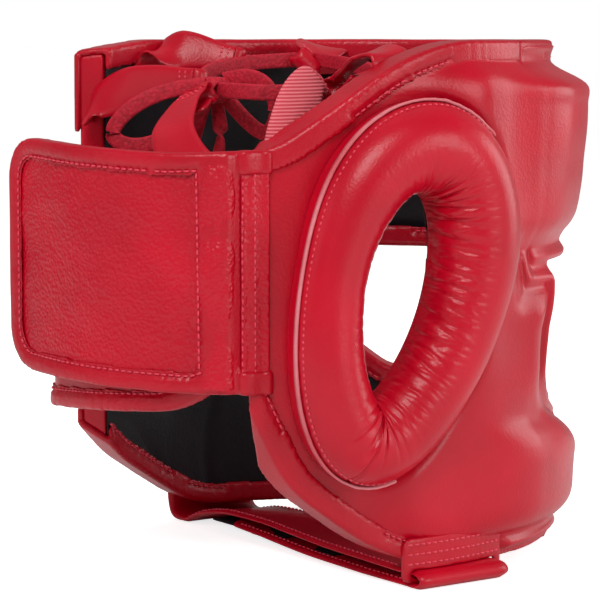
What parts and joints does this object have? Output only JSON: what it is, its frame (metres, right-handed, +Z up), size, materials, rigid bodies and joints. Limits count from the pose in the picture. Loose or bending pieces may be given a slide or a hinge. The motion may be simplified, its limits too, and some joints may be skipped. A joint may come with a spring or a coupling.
{
  "type": "boxing headgear",
  "caption": "Padded leather boxing headgear with stuffed ear rings, a laced open crown, cheek pads, a hook-and-loop rear flap over a tongue, and a folded chin strap.",
  "frame": {"origin": "on the surface that the headgear stands on, under the middle of its overall width and length", "axes": "+Z up, -Y the way the wearer faces, +X the wearer's left"},
  "size_m": [0.233, 0.254, 0.2216],
  "materials": {
    "leather": "glossy full-grain leather",
    "binding": "thin glossy leather, folded and stitched",
    "lining": "smooth matte leather",
    "foam": "soft foam padding",
    "hook_and_loop": "napped nylon tape",
    "elastic": "ribbed woven elastic",
    "lace": "flat braided cord"
  },
  "bodies": {
    "guard": {"bow_loop_left": "lace", "bow_loop_right": "lace", "chin_strap": "leather", "chin_strap_loop_panel": "hook_and_loop", "crown_lace": "lace", "forehead_binding": "binding", "forehead_cover": "leather", "forehead_foam": "foam", "forehead_lining": "lining", "forehead_pad_cover": "leather", "forehead_pad_foam": "foam", "lace_knot": "lace", "lace_tail_left": "lace", "lace_tail_right": "lace", "left_binding": "binding", "left_cheek_pad_cover": "leather", "left_cheek_pad_foam": "foam", "left_ear_ring_cover": "leather", "left_ear_ring_stuffing": "foam", "left_front_tab": "leather", "left_rear_tab": "leather", "left_side_cover": "leather", "left_side_foam": "foam", "left_side_lining": "lining", "left_side_tab": "leather", "right_binding": "binding", "right_cheek_pad_cover": "leather", "right_cheek_pad_foam": "foam", "right_ear_ring_cover": "leather", "right_ear_ring_stuffing": "foam", "right_front_tab": "leather", "right_rear_tab": "leather", "right_side_cover": "leather", "right_side_foam": "foam", "right_side_lining": "lining", "right_side_tab": "elastic", "strap_keeper": "leather"},
    "rear_flap": {"flap_binding": "binding", "flap_cover": "leather", "flap_hook_panel": "hook_and_loop", "flap_lining": "lining"},
    "tongue": {"tongue_binding": "binding", "tongue_cover": "leather", "tongue_loop_panel": "hook_and_loop"},
    "strap_tip": {"strap_end": "leather", "strap_end_hook_panel": "hook_and_loop"}
  },
  "joints": [
    {"name": "flap_hinge", "type": "hinge", "parent": "guard", "child": "rear_flap", "pos_m": [-0.0685, 0.076, 0.13], "axis": [0, 0, 1], "range_deg": [0, 100]},
    {"name": "tongue_hinge", "type": "hinge", "parent": "guard", "child": "tongue", "pos_m": [0.0536, 0.0866, 0.12], "axis": [0, 0, 1], "range_deg": [0, 20]},
    {"name": "strap_fold", "type": "hinge", "parent": "guard", "child": "strap_tip", "pos_m": [-0.08885, -0.007, 0], "axis": [0, 1, 0], "range_deg": [0, 150]}
  ]
}
